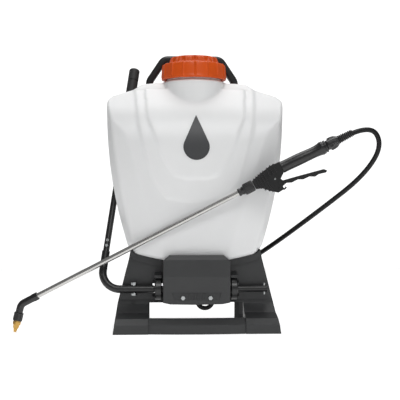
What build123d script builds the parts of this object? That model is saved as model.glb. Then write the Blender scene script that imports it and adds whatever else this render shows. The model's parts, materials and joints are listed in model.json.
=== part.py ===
from build123d import *
from math import cos, radians, sin, tan
import os

os.makedirs("parts", exist_ok=True)

# Backpack sprayer of the 15 litre class, standing on its base with the lance leaning on the tank.
# Millimetres. Z is up and the origin is on the floor, under the middle of the tank.
# -Y is the outer side, +Y is the side that rests on the wearer's back.

# ---- driving sizes: fits ----
fit = 0.08
gap = 0.6

# ---- driving sizes: tank ----
tank_wall = 3.5
tank_front = -100
tank_widest = -50
tank_rear_corner = 55
tank_back = 92
tank_sole = 132
tank_crown = 483
sole_half = 118
sole_rise = 17
# plan of the blow-moulded body: height, then half widths at crease, front corner, widest, rear corner, back
tank_levels = (
    (120, 57, 104, 118.5, 78, 66),
    (230, 88, 135, 151, 98, 82),
    (340, 121, 155, 169, 106, 88),
    (440, 138, 166, 172, 108, 90),
    (500, 146, 168, 170, 108, 90),
)
side_round = 14
sole_round = 9
crown_round = 3
brow_start = 342
brow_radius = 130
border_height = 2.5
shield_height = 5
mark_thick = 0.6
neck_bore = 50
neck_radius = 54
collar_radius = 61
collar_top = 486
neck_top = 508
mark_z = 352
mark_radius = 25
screw_radius = 2.4
chamber_neck = 9

# ---- driving sizes: cap and strainer ----
cap_bottom = 490
cap_top = 536
cap_radius = 64.5
thread_clearance = 1.2
gasket_thick = 3
strainer_depth = 72
strainer_wall = 2
vent_radius = 5

# ---- driving sizes: carry handle, back pad and harness ----
handle_half = 88
handle_y = 82
handle_z = 542
pad_half = 74
pad_bottom = 190
pad_top = 400
pad_thick = 14
plate_z = 436
plate_half = 84
strap_x = 60
strap_width = 32
shoulder_width = 54
webbing_thick = 2.5
web_top_y = 122
web_top_z = 232
web_foot_z = 92
shoulder_thick = 11
shoulder_bow = ((104, 440), (132, 424), (142.6, 380), (138, 310), (125, 238))

# ---- driving sizes: base ----
foot_half = 158
knee_half = 150
knee_z = 54
waist_half = 128
waist_z = 140
horn_half = 124
horn_z = 162
base_front = -72
base_back = 76
base_wall = 5
toe_front = -132
toe_height = 28
toe_edge = 17
heel_back = 98
window_half = 92
rear_half = 88
rear_top = 88
ledge_depth = 13
ledge_out = 4
toe_outer = (
    (-66, 60),
    (-72, 60),
    (-74, 52),
    (-92, 36),
    (-120, toe_height),
    (toe_front, toe_edge),
    (toe_front, 0),
    (-66, 0),
)
toe_inner = ((-66, 46), (-90, 30.5), (-118, 22.5), (-127, 14), (-127, -5), (-66, -5))
heel_outer = (
    (70, 56),
    (76, 56),
    (79, 44),
    (92, 24),
    (heel_back, 14),
    (heel_back, 0),
    (70, 0),
)
heel_inner = ((70, 44), (74, 42), (88, 19), (93, 12), (93, -5), (70, -5))

# ---- driving sizes: pump ----
shaft_y = -86
shaft_z = 81
shaft_radius = 6.2
shaft_left = -150
shaft_right = 138
bearing_radius = 20.5
bearing_inner = 66
bearing_outer = 79
crank_throw = 38
crank_swing = 35
crank_pin_radius = 4
slot_play = 1.2
yoke_half = 7
web_thick = 5
cylinder_bore = 17
cylinder_wall = 2.5
flange_out = 3.5
pump_gasket_thick = 2.5
cylinder_bottom = 112
cylinder_top = 232
piston_height = 16
rod_radius = 5
chamber_radius = 23
chamber_wall = 3
outlet_bore = 4
outlet_top = 104
gland_x = -38
hose_end_z = 58
cover_half = 63.6
cover_front = -118
cover_wall = 3
recess_y = -113.4
cover_bottom = 55
cover_fold = 106
cover_bolt_x = 26
loop_x = 2
loop_y = -95
loop_z = 45
loop_bend = 14.5
loop_radius = 4.2
loop_play = 2.6

# ---- driving sizes: lever ----
lever_corner = -183
lever_lean_in = 0.1465
lever_lean_back = 0.364
lever_bend = 33
lever_bar_radius = 7.5
lever_bar_end = -81
lever_tube_radius = 6
lever_tube_bore = 5
sleeve_z = 152
swage_z = 186
lever_top_z = 512
grip_low_z = 408
grip_top_z = 520
grip_radius = 10.7
bolt_x = -118.5
bolt_radius = 3
bolt_hex = 5.6
shaft_pin_radius = 1.5
shaft_pin_inset = 7
rivet_radius = 1.6
rivet_head = 2.8

# ---- driving sizes: lance and hose ----
wand_radius = 5
wand_length = 446
handle_rise = 3
handle_end = 608
pivot_along = 503
pivot_up = -8
pin_radius = 1.8
stem_up = -19
stem_radius = 1.8
stem_start = 476
stem_head = 508.6
lock_along = 503
lock_up = -29
lock_half = 4
lock_pin_radius = 1.3
nozzle_reach = 33.8
nozzle_turn = 50
hose_radius = 4.75
hose_route = (
    (324, -141.7, 394.3),
    (349.64, -138, 354),
    (318, -110, 296),
    (246, -52, 232),
    (172, 32, 166),
    (132, 98, 131),
    (84, 113, 92),
    (24, 60, 60),
    (-92, 60, 56),
    (-92, 0, 58),
)
floor_clearance = 0.6
valve_half = 9.5
valve_outline = (
    (462.5, -9),
    (462.5, 8),
    (480, 13),
    (505, 18),
    (524, 17),
    (524, -4),
    (512, -13),
    (509, -33),
    (497, -34),
    (486, -25),
    (474, -13),
)
# rings of the grip: place along the wand, rise of the centre, half width
handle_rings = ((524.3, 5.4, 10.9), (545, 4.8, 10.6), (580, 3.6, 10.2), (600, 3, 10.8), (608, 3, 12.5))
trigger_half = 6.5
trigger_outline = (
    (pivot_along - 3, pivot_up + 5),
    (pivot_along + 5, pivot_up + 4.5),
    (pivot_along + 12, -17),
    (545, -23),
    (592, -33),
    (597, -38),
    (594, -41),
    (580, -37.5),
    (572, -38.5),
    (563, -33.5),
    (550, -33),
    (541, -28.5),
    (528, -28.5),
    (519, -24.5),
    (pivot_along + 6, -27),
    (pivot_along - 4, -24),
)
relief_length = 28


# ---- worked out from the driving sizes ----
piston_y = shaft_y + crank_throw * (1 + cos(radians(crank_swing))) / 2
pin_rise = crank_throw * sin(radians(crank_swing))
lance_start = Vector(-302.8, -84.5, 68.3)
lance_along = Vector(384.3, -35, 197.8).normalized()
lance_out = lance_along.cross(Vector(0, 0, 1)).normalized()
lance_plane = Plane(origin=lance_start, x_dir=lance_along, z_dir=lance_out)
lever_along = Vector(lever_lean_in, lever_lean_back, 1).normalized()


def on_lance(along, up, out=0):
    """Point in the lance's own frame: along the wand, up from its axis, out to the side."""
    return lance_plane.from_local_coords(Vector(along, up, out))


def lance_section(along, up=0):
    """Plane across the wand at a place along it, facing the hose end."""
    return Plane(origin=on_lance(along, up), x_dir=lance_out, z_dir=lance_along)


def on_lever(z):
    """Point of the lever's axis at height z."""
    return Vector(
        lever_corner + (z - shaft_z) * lever_lean_in,
        shaft_y + (z - shaft_z) * lever_lean_back,
        z,
    )


def lever_section(z):
    """Plane across the lever's tube at height z."""
    return Plane(origin=on_lever(z), z_dir=lever_along)


def tank_front_view(inset=0, drop=0):
    """Outline of the tank seen from the front: rounded sole, shoulders and crown."""
    with BuildSketch() as view:
        with BuildLine():
            ThreePointArc(
                (-sole_half, tank_sole + sole_rise - drop),
                (0, tank_sole - drop),
                (sole_half, tank_sole + sole_rise - drop),
            )
            for side in (1, -1):
                Polyline(
                    (side * sole_half, tank_sole + sole_rise - drop),
                    (side * (sole_half + 16), tank_sole + sole_rise + 15 - drop),
                    (side * 240, 260 - drop),
                    (side * 240, 381),
                    (side * 160, tank_crown - 29),
                    (side * 120, tank_crown - 15),
                    (side * 104, tank_crown - 3),
                    (side * 78, tank_crown),
                    (0, tank_crown),
                )
        make_face()
        if inset:
            offset(amount=-inset, kind=Kind.INTERSECTION)
    return view.sketch


def tank_side_view(grow=0):
    """Outline of the tank seen from the side: flat front, round brow, 45 degree slope, back."""
    slope = 45
    top = tank_crown + 20
    with BuildSketch() as view:
        with BuildLine():
            front = Line((tank_front, 100), (tank_front, brow_start))
            brow = JernArc(start=front @ 1, tangent=(0, 1), radius=brow_radius, arc_size=-slope)
            ramp = PolarLine(brow @ 1, (top - (brow @ 1).Y) / sin(radians(slope)), slope)
            Polyline(ramp @ 1, (60, top), (tank_back, 455), (tank_back, 100), front @ 0)
        make_face()
        if grow:
            offset(amount=grow, kind=Kind.INTERSECTION)
    return view.sketch


def tank_form(inset=0):
    """Body of the tank without neck or shield, shrunk by inset on every side."""
    with BuildPart() as form:
        for z, crease, corner, widest, rear, back in tank_levels:
            with BuildSketch(Plane.XY.offset(z)) as plan:
                with BuildLine():
                    Polyline(
                        (0, tank_front),
                        (crease, tank_front),
                        (corner, tank_front + 16),
                        (widest, tank_widest),
                        (rear, tank_rear_corner),
                        (back, tank_back),
                        (0, tank_back),
                    )
                    mirror(about=Plane.YZ)
                make_face()
                if inset:
                    offset(amount=-inset, kind=Kind.INTERSECTION)
                corners = plan.vertices().filter_by(lambda v: abs(v.X) > 1)
                fillet(corners, radius=side_round - inset)
        loft()
        with BuildSketch(Plane.XZ.offset(-tank_back - 20)):
            add(tank_front_view(inset))
        extrude(amount=tank_back - tank_front + 40, mode=Mode.INTERSECT)
        with BuildSketch(Plane.YZ.offset(-250)):
            add(tank_side_view(-inset))
        extrude(amount=500, mode=Mode.INTERSECT)
        if not inset:
            sole_edges = form.edges().filter_by(lambda e: e.center().Z < 170 and e.length > 5)
            fillet(sole_edges, radius=sole_round)
            crown_edges = form.edges().filter_by(lambda e: e.center().Z > 440 and e.length > 5)
            fillet(crown_edges, radius=crown_round)
    return form.part


def raised_panel(half_outline, height):
    """Panel on the tank's front, bounded by half an outline, standing out by height."""
    with BuildPart() as panel:
        with BuildSketch(Plane.XZ.offset(30)):
            with BuildLine():
                Polyline(*half_outline)
                mirror(about=Plane.YZ)
            make_face()
        extrude(amount=90)
        with BuildSketch(Plane.YZ.offset(-250)):
            add(tank_side_view(height))
        extrude(amount=500, mode=Mode.INTERSECT)
    return panel.part


def drop_mark(height):
    """Plain water drop, standing out from the tank's front by height."""
    with BuildPart() as drop:
        with BuildSketch(Plane.XZ.offset(30)):
            with BuildLine():
                bowl = CenterArc((0, mark_z), mark_radius, 150, 240)
                Polyline(bowl @ 1, (0, mark_z + 2 * mark_radius + 12), bowl @ 0)
            make_face()
        extrude(amount=90)
        with BuildSketch(Plane.YZ.offset(-250)):
            add(tank_side_view(height))
        extrude(amount=500, mode=Mode.INTERSECT)
    return drop.part


# ================= tank =================
border_outline = ((0, 476), (117, 476), (109, 393), (83, 290), (56, 256), (26, 250), (0, 250))
field_outline = ((0, 470), (97, 470), (92, 410), (59, 322), (42, 299), (20, 292), (0, 292))
tank_outside = tank_form()
tank_inside = tank_form(tank_wall)
shield_border = raised_panel(border_outline, border_height)
shield_field = raised_panel(field_outline, shield_height)
boss_spots = [(x, y) for x in (-78, 78) for y in (-40, 50)]
cylinder_radius = cylinder_bore + cylinder_wall

with BuildPart() as tank:
    add(tank_outside)
    add(shield_border)
    add(shield_field)
    with BuildSketch(Plane.XY.offset(405)):
        Circle(collar_radius)
    extrude(amount=collar_top - 405)
    with BuildSketch(Plane.XY.offset(collar_top)):
        Circle(neck_radius)
    extrude(amount=neck_top - collar_top)
    fillet(tank.edges().group_by(Axis.Z)[-1], radius=1.2)
    add(tank_inside, mode=Mode.SUBTRACT)
    with BuildSketch(Plane.XY.offset(400)):
        Circle(neck_bore)
    extrude(amount=neck_top - 400 + 1, mode=Mode.SUBTRACT)
    # bosses for the base screws, then the holes through the sole
    with BuildSketch(Plane.XY.offset(tank_sole + 9.5)):
        with Locations(*boss_spots):
            Circle(9)
    extrude(amount=16)
    with BuildSketch(Plane.XY.offset(tank_sole - 5)):
        with Locations(*boss_spots):
            Circle(screw_radius)
        with Locations((0, piston_y)):
            Circle(cylinder_radius + gap)
        with Locations((0, 0)):
            Circle(chamber_neck + gap)
    extrude(amount=25, mode=Mode.SUBTRACT)
tank.part.label = "tank"
export_step(tank.part, "parts/tank.step")

mark_surface = raised_panel(field_outline, shield_height)
with BuildPart() as tank_mark:
    add(drop_mark(shield_height + mark_thick))
    add(mark_surface, mode=Mode.SUBTRACT)
tank_mark.part.label = "tank_mark"
export_step(tank_mark.part, "parts/tank_mark.step")

# ================= cap, vent and strainer =================
with BuildPart() as tank_cap:
    with BuildSketch(Plane.XZ):
        with BuildLine():
            Polyline((0, cap_bottom), (cap_radius, cap_bottom), (cap_radius, cap_bottom + 5))
            Polyline((cap_radius, cap_bottom + 5), (cap_radius - 2.5, cap_bottom + 8))
            skirt = Line((cap_radius - 2.5, cap_bottom + 8), (cap_radius - 4, cap_top - 16))
            TangentArc(skirt @ 1, (48, cap_top - 2), tangent=skirt % 1)
            Polyline((48, cap_top - 2), (44, cap_top), (0, cap_top), (0, cap_bottom))
        make_face()
    revolve(axis=Axis.Z)
    # finger grips round the skirt
    with BuildSketch(Plane.XY.offset(cap_bottom + 5)):
        with PolarLocations(cap_radius - 5, 12):
            Rectangle(9, 11)
    extrude(amount=cap_top - cap_bottom - 17)
    # twelve shallow pockets on the shoulder of the dome
    with BuildSketch(Plane.XY.offset(cap_top - 12)):
        with PolarLocations(50, 12, start_angle=15):
            Rectangle(15, 13)
    extrude(amount=14, mode=Mode.SUBTRACT)
    inside_radius = neck_radius + thread_clearance
    with BuildSketch(Plane.XY.offset(cap_bottom)):
        Circle(inside_radius)
    extrude(amount=neck_top + gasket_thick - cap_bottom, mode=Mode.SUBTRACT)
    with BuildSketch(Plane.XY.offset(neck_top)):
        Circle(neck_bore - 14)
    extrude(amount=cap_top - 4 - neck_top, mode=Mode.SUBTRACT)
    with BuildSketch(Plane.XY.offset(cap_top - 6)):
        Circle(vent_radius + fit)
    extrude(amount=8, mode=Mode.SUBTRACT)
tank_cap.part.label = "tank_cap"
export_step(tank_cap.part, "parts/tank_cap.step")

with BuildPart() as cap_gasket:
    with BuildSketch(Plane.XY.offset(neck_top + strainer_wall)):
        Circle(neck_radius - 1)
        Circle(neck_bore - 8, mode=Mode.SUBTRACT)
    extrude(amount=gasket_thick - strainer_wall - 0.1)
cap_gasket.part.label = "cap_gasket"
export_step(cap_gasket.part, "parts/cap_gasket.step")

with BuildPart() as cap_vent:
    with BuildSketch(Plane.XZ):
        with BuildLine():
            Polyline(
                (0, cap_top - 10),
                (vent_radius + 3, cap_top - 10),
                (vent_radius + 3, cap_top - 4.5),
                (vent_radius, cap_top - 4.5),
                (vent_radius, cap_top + 1),
                (vent_radius - 2, cap_top + 2),
                (0, cap_top + 2),
                (0, cap_top - 10),
            )
        make_face()
    revolve(axis=Axis.Z)
cap_vent.part.label = "cap_vent"
export_step(cap_vent.part, "parts/cap_vent.step")

strainer_radius = neck_bore - 1
with BuildPart() as strainer_basket:
    with BuildSketch(Plane.XY.offset(neck_top + 0.1)):
        Circle(neck_radius - 1)
    extrude(amount=strainer_wall - 0.2)
    with BuildSketch(Plane.XY.offset(neck_top - strainer_depth)):
        Circle(strainer_radius - 5)
    with BuildSketch(Plane.XY.offset(neck_top + 0.1)):
        Circle(strainer_radius)
    loft()
    with BuildSketch(Plane.XY.offset(neck_top - strainer_depth + strainer_wall)):
        Circle(strainer_radius - 5 - strainer_wall)
    with BuildSketch(Plane.XY.offset(neck_top + 3)):
        Circle(strainer_radius - strainer_wall)
    loft(mode=Mode.SUBTRACT)
    # three rows of windows, the mesh itself is moulded over them
    for row in range(3):
        with BuildSketch(Plane.XY.offset(neck_top - strainer_depth + 10 + 19 * row)):
            with PolarLocations(strainer_radius - 4, 8):
                Rectangle(14, 24)
        extrude(amount=13, mode=Mode.SUBTRACT)
strainer_basket.part.label = "strainer_basket"
export_step(strainer_basket.part, "parts/strainer_basket.step")

# ================= carry handle, back pad and harness =================
with BuildPart() as carry_handle:
    with BuildLine():
        bow = FilletPolyline(
            (-handle_half, handle_y, tank_crown - 22),
            (-handle_half, handle_y, tank_crown + 14),
            (-handle_half + 30, handle_y, handle_z),
            (handle_half - 30, handle_y, handle_z),
            (handle_half, handle_y, tank_crown + 14),
            (handle_half, handle_y, tank_crown - 22),
            radius=16,
        )
    with BuildSketch(Plane(origin=bow @ 0, x_dir=(1, 0, 0), z_dir=bow % 0)):
        RectangleRounded(15, 20, radius=5)
    sweep()
    with BuildSketch(Plane.YZ.offset(-250)):
        add(tank_side_view())
    extrude(amount=500, mode=Mode.SUBTRACT)
carry_handle.part.label = "carry_handle"
export_step(carry_handle.part, "parts/carry_handle.step")

with BuildPart() as back_pad:
    with BuildSketch(Plane.XZ.offset(-tank_back - gap)):
        with Locations((0, (pad_top + pad_bottom) / 2)):
            RectangleRounded(2 * pad_half, pad_top - pad_bottom, radius=22)
    extrude(amount=-pad_thick)
back_pad.part.label = "back_pad"
export_step(back_pad.part, "parts/back_pad.step")

strap_face = tank_back + gap
with BuildPart() as strap_plate:
    with BuildSketch(Plane.XZ.offset(-strap_face)):
        with Locations((0, plate_z)):
            RectangleRounded(2 * plate_half, 26, radius=6)
            with Locations((-strap_x, 0), (strap_x, 0)):
                RectangleRounded(strap_width + 4, 7, radius=2, mode=Mode.SUBTRACT)
    extrude(amount=-5)
strap_plate.part.label = "strap_plate"
export_step(strap_plate.part, "parts/strap_plate.step")

for side, side_name in ((-1, "left"), (1, "right")):
    # padded upper part, hanging in a flat bow behind the back pad
    with BuildPart() as shoulder_pad:
        with BuildLine():
            bow = Spline(*[(side * strap_x, y, z) for y, z in shoulder_bow])
        with BuildSketch(Plane(origin=bow @ 0, x_dir=(1, 0, 0), z_dir=bow % 0)):
            RectangleRounded(shoulder_width, shoulder_thick, radius=4)
        sweep()
    shoulder_pad.part.label = side_name + "_shoulder_pad"
    export_step(shoulder_pad.part, "parts/" + side_name + "_shoulder_pad.step")

    # flat webbing from the pad's lower end down to the base
    with BuildPart() as lower_strap:
        with BuildSketch(Plane.YZ.offset(side * strap_x - strap_width / 2)):
            with BuildLine():
                Polyline(
                    (web_top_y, web_top_z),
                    (web_top_y + webbing_thick, web_top_z),
                    (base_back + gap + webbing_thick, web_foot_z),
                    (base_back + gap, web_foot_z),
                    close=True,
                )
            make_face()
        extrude(amount=strap_width)
    lower_strap.part.label = side_name + "_lower_strap"
    export_step(lower_strap.part, "parts/" + side_name + "_lower_strap.step")

# ladder buckles, one per strap, at the joint of pad and webbing
with BuildPart() as strap_buckles:
    for side in (-1, 1):
        with BuildSketch(Plane.XZ.offset(-web_top_y - webbing_thick - 0.4)):
            with Locations((side * strap_x, web_top_z - 14)):
                RectangleRounded(strap_width + 12, 30, radius=4)
                with Locations((0, -7), (0, 7)):
                    Rectangle(strap_width, 5, mode=Mode.SUBTRACT)
        extrude(amount=-4)
strap_buckles.part.label = "strap_buckles"
export_step(strap_buckles.part, "parts/strap_buckles.step")

# ================= base =================
def base_front_view(inset=0):
    """Skirt of the base seen from the front, with the tank's own outline cut away."""
    floor = -10 if inset else 0
    with BuildSketch() as view:
        with BuildLine():
            Polyline(
                (0, floor),
                (foot_half - inset, floor),
                (knee_half - inset, knee_z),
                (waist_half - inset, waist_z),
                (horn_half - inset, horn_z),
                (0, horn_z),
            )
            mirror(about=Plane.YZ)
        make_face()
        add(tank_front_view(drop=inset), mode=Mode.SUBTRACT)
    return view.sketch


def toe_view(side_points):
    """Side view of a toe or heel from its corner points."""
    with BuildSketch() as view:
        with BuildLine():
            Polyline(*side_points, close=True)
        make_face()
    return view.sketch


with BuildPart() as base_frame:
    with BuildSketch(Plane.XZ.offset(-base_back)):
        add(base_front_view())
    extrude(amount=base_back - base_front)
    # ledge that follows the tank's sole, and the thick wall behind the pump cover
    with BuildSketch(Plane.XZ.offset(-base_front)) as ledge:
        add(base_front_view())
        add(tank_front_view(drop=ledge_depth), mode=Mode.INTERSECT)
    extrude(amount=ledge_out)
    with BuildSketch(Plane.XZ.offset(-base_front)):
        with Locations((0, (cover_bottom + 128) / 2)):
            Rectangle(2 * cover_half, 128 - cover_bottom)
    extrude(amount=ledge_out)
    # toes in front and heels behind, both inside the skirt's outline
    with BuildSketch(Plane.YZ.offset(-foot_half - 10)):
        add(toe_view(toe_outer))
        add(toe_view(heel_outer))
    toes = extrude(amount=2 * foot_half + 20, mode=Mode.PRIVATE)
    with BuildSketch(Plane.XZ.offset(-heel_back - 10)):
        add(base_front_view())
        with Locations((0, 0)):
            Rectangle(2 * window_half, 2 * knee_z, mode=Mode.SUBTRACT)
    skirt = extrude(amount=heel_back - toe_front + 20, mode=Mode.PRIVATE)
    add(toes & skirt)
    # hollow inside: one cavity under the deck, one in each toe and heel
    with BuildSketch(Plane.XZ.offset(-base_back + base_wall)):
        add(base_front_view(base_wall))
    extrude(amount=base_back - base_front - 2 * base_wall, mode=Mode.SUBTRACT)
    with BuildSketch(Plane.YZ.offset(-foot_half - 10)):
        add(toe_view(toe_inner))
        add(toe_view(heel_inner))
    toe_hollow = extrude(amount=2 * foot_half + 20, mode=Mode.PRIVATE)
    with BuildSketch(Plane.XZ.offset(-heel_back - 10)):
        add(base_front_view(base_wall))
        Rectangle(2 * (window_half + base_wall), 4 * knee_z, mode=Mode.SUBTRACT)
    skirt_hollow = extrude(amount=heel_back - toe_front + 20, mode=Mode.PRIVATE)
    add(toe_hollow & skirt_hollow, mode=Mode.SUBTRACT)
    # low window in front, arch behind that is open to the floor, open sides
    with BuildSketch(Plane.XZ.offset(-base_front - base_wall - 1)):
        with Locations((0, knee_z / 2)):
            Rectangle(2 * window_half, knee_z)
    extrude(amount=60, mode=Mode.SUBTRACT)
    with BuildSketch(Plane.XZ.offset(-base_back + base_wall + 1)):
        Rectangle(2 * rear_half, 2 * rear_top)
    extrude(amount=-60, mode=Mode.SUBTRACT)
    with BuildSketch(Plane.YZ.offset(-foot_half - 10)):
        with Locations((2, 74)):
            RectangleRounded(108, 84, radius=12)
    extrude(amount=2 * foot_half + 20, mode=Mode.SUBTRACT)
    # crossbar joins the toes
    with BuildSketch(Plane.XY) as front_bar:
        with BuildLine():
            bar_front = ThreePointArc((-100, toe_front + 4), (0, toe_front - 3), (100, toe_front + 4))
            bar_back = ThreePointArc((-100, toe_front + 27), (0, toe_front + 21), (100, toe_front + 27))
            Line(bar_front @ 0, bar_back @ 0)
            Line(bar_front @ 1, bar_back @ 1)
        make_face()
    extrude(amount=toe_edge)
    with BuildSketch(Plane.XY.offset(toe_edge)):
        add(front_bar.sketch)
    with BuildSketch(Plane.XY.offset(toe_height)):
        with BuildLine():
            top_front = ThreePointArc((-100, toe_front + 20), (0, toe_front + 14), (100, toe_front + 20))
            top_back = ThreePointArc((-100, toe_front + 27), (0, toe_front + 21), (100, toe_front + 27))
            Line(top_front @ 0, top_back @ 0)
            Line(top_front @ 1, top_back @ 1)
        make_face()
    loft(ruled=True)
    # bay for crank and bearings, holes in the deck
    with BuildSketch(Plane.YZ.offset(-bearing_outer - 4)):
        with Locations((shaft_y, shaft_z)):
            Circle(bearing_radius + gap)
    extrude(amount=2 * bearing_outer + 8, mode=Mode.SUBTRACT)
    with BuildSketch(Plane.XZ.offset(-base_front - base_wall - 1)):
        with Locations((0, shaft_z + 4)):
            Rectangle(52, 84)
    extrude(amount=20, mode=Mode.SUBTRACT)
    with BuildSketch(Plane.XY.offset(cylinder_bottom)):
        with Locations((0, piston_y)):
            Circle(cylinder_radius + gap)
        with Locations((0, 0)):
            Circle(chamber_neck + gap)
        with Locations(*boss_spots):
            Circle(screw_radius + gap)
    extrude(amount=40, mode=Mode.SUBTRACT)
    # lugs over the two bearings
    with BuildSketch(Plane.YZ.offset(-bearing_outer)):
        with BuildLine():
            Polyline(
                (base_front + 1, shaft_z + bearing_radius + 0.5),
                (shaft_y - 9, shaft_z + bearing_radius + 0.5),
                (shaft_y - 9, shaft_z + bearing_radius + 6),
                (base_front + 1, shaft_z + bearing_radius + 12),
                close=True,
            )
        make_face()
    extrude(amount=bearing_outer - bearing_inner)
    with BuildSketch(Plane.YZ.offset(bearing_inner)):
        with BuildLine():
            Polyline(
                (base_front + 1, shaft_z + bearing_radius + 0.5),
                (shaft_y - 9, shaft_z + bearing_radius + 0.5),
                (shaft_y - 9, shaft_z + bearing_radius + 6),
                (base_front + 1, shaft_z + bearing_radius + 12),
                close=True,
            )
        make_face()
    extrude(amount=bearing_outer - bearing_inner)
base_frame.part.label = "base_frame"
export_step(base_frame.part, "parts/base_frame.step")

# ================= pump =================
def ring(name, centre, z_low, z_high, outer, inner):
    """Plain upright ring, written out under its own name."""
    with BuildPart() as part:
        with BuildSketch(Plane.XY.offset(z_low)):
            with Locations(centre):
                Circle(outer)
                Circle(inner, mode=Mode.SUBTRACT)
        extrude(amount=z_high - z_low)
    part.part.label = name
    export_step(part.part, "parts/" + name + ".step")


cylinder_centre = (0, piston_y)
with BuildPart() as pump_cylinder:
    with BuildSketch(Plane.XY.offset(cylinder_bottom)):
        with Locations(cylinder_centre):
            Circle(cylinder_radius)
    extrude(amount=cylinder_top - cylinder_bottom)
    with BuildSketch(Plane.XY.offset(tank_sole - base_wall - 4.5)):
        with Locations(cylinder_centre):
            Circle(cylinder_radius + flange_out)
    extrude(amount=4)
    with BuildSketch(Plane.XY.offset(cylinder_bottom)):
        with Locations(cylinder_centre):
            Circle(cylinder_bore)
    extrude(amount=cylinder_top - cylinder_bottom, mode=Mode.SUBTRACT)
pump_cylinder.part.label = "pump_cylinder"
export_step(pump_cylinder.part, "parts/pump_cylinder.step")

sole_top = tank_sole + tank_wall + 1
flange_radius = cylinder_radius + flange_out
nut_bore = cylinder_radius + 0.2
gasket_top = sole_top + pump_gasket_thick
guide_top = cylinder_bottom + 7
ring("pump_gasket", cylinder_centre, sole_top, gasket_top, flange_radius, nut_bore)
ring("pump_nut", cylinder_centre, gasket_top, gasket_top + 8.5, flange_radius + 1, nut_bore)
ring("rod_guide", cylinder_centre, cylinder_bottom, guide_top, cylinder_bore - fit, rod_radius + fit)

with BuildPart() as pump_head:
    with BuildSketch(Plane.XY.offset(cylinder_top)):
        with Locations(cylinder_centre):
            Circle(cylinder_radius + 2)
        with Locations((0, 0)):
            Circle(12)
        with Locations((0, piston_y / 2)):
            Rectangle(16, -piston_y)
    extrude(amount=10)
    # inlet ports round a centre post that holds the valve
    with BuildSketch(Plane.XY.offset(cylinder_top)):
        with Locations(cylinder_centre):
            with PolarLocations(cylinder_bore - 6, 5, start_angle=18):
                Circle(2.8)
    extrude(amount=10, mode=Mode.SUBTRACT)
pump_head.part.label = "pump_head"
export_step(pump_head.part, "parts/pump_head.step")
ring("inlet_valve", cylinder_centre, cylinder_top - 2, cylinder_top - 0.1, cylinder_bore - 1.5, 2.5)

with BuildPart() as pressure_chamber:
    with BuildSketch(Plane.XZ):
        with BuildLine():
            Polyline(
                (outlet_bore, outlet_top),
                (chamber_neck, outlet_top),
                (chamber_neck, sole_top + 0.2),
                (chamber_radius, sole_top + 4),
                (chamber_radius, cylinder_top - 14),
                (12, cylinder_top - 0.2),
                (0, cylinder_top - 0.2),
                (0, cylinder_top - 4),
                (9, cylinder_top - 5),
                (chamber_radius - chamber_wall, cylinder_top - 15.5),
                (chamber_radius - chamber_wall, sole_top + 7),
                (outlet_bore, sole_top + 5),
                close=True,
            )
        make_face()
    revolve(axis=Axis.Z)
pressure_chamber.part.label = "pressure_chamber"
export_step(pressure_chamber.part, "parts/pressure_chamber.step")
deck_under = tank_sole - base_wall
ring("chamber_nut", (0, 0), deck_under - 9, deck_under - 0.4, 16, chamber_neck + 0.2)

with BuildPart() as outlet_elbow:
    with BuildLine():
        outlet_path = FilletPolyline(
            (0, 0, outlet_top - 0.1), (0, 0, hose_end_z), (gland_x + 6, 0, hose_end_z), radius=14
        )
    with BuildSketch(Plane(origin=outlet_path @ 0, z_dir=outlet_path % 0)):
        Circle(8)
        Circle(outlet_bore, mode=Mode.SUBTRACT)
    sweep()
outlet_elbow.part.label = "outlet_elbow"
export_step(outlet_elbow.part, "parts/outlet_elbow.step")

with BuildPart() as hose_gland:
    with BuildSketch(Plane.YZ.offset(gland_x)):
        with Locations((0, hose_end_z)):
            RegularPolygon(11, 6)
            Circle(hose_radius - 1.5, mode=Mode.SUBTRACT)
    extrude(amount=6)
hose_gland.part.label = "hose_gland"
export_step(hose_gland.part, "parts/hose_gland.step")

# piston, rod and slotted yoke in one; the crank pin runs in the slot
yoke_z = shaft_z + pin_rise
slot_half_y = crank_throw * (1 - cos(radians(crank_swing))) / 2 + crank_pin_radius + slot_play
slot_half_z = crank_pin_radius + slot_play
with BuildPart() as piston_rod:
    with BuildSketch(Plane.YZ.offset(-yoke_half)):
        with Locations((piston_y, yoke_z)):
            RectangleRounded(2 * slot_half_y + 10, 2 * slot_half_z + 8, radius=4)
            SlotOverall(2 * slot_half_y, 2 * slot_half_z, mode=Mode.SUBTRACT)
    extrude(amount=2 * yoke_half)
    piston_base = cylinder_top - 6 - piston_height
    rod_foot = yoke_z + slot_half_z + 2
    with BuildSketch(Plane.XY.offset(rod_foot)):
        with Locations(cylinder_centre):
            Circle(rod_radius)
    extrude(amount=piston_base - rod_foot + 1)
    with BuildSketch(Plane.XY.offset(piston_base)):
        with Locations(cylinder_centre):
            Circle(cylinder_bore - 0.5)
    extrude(amount=piston_height)
    with BuildSketch(Plane.XY.offset(piston_base + 5)):
        with Locations(cylinder_centre):
            Circle(cylinder_bore)
            Circle(cylinder_bore - 4, mode=Mode.SUBTRACT)
    extrude(amount=6, mode=Mode.SUBTRACT)
piston_rod.part.label = "piston_rod"
export_step(piston_rod.part, "parts/piston_rod.step")
seal_low = piston_base + 5.2
ring("piston_seal", cylinder_centre, seal_low, seal_low + 5.6, cylinder_bore - fit, cylinder_bore - 3.8)

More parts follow.
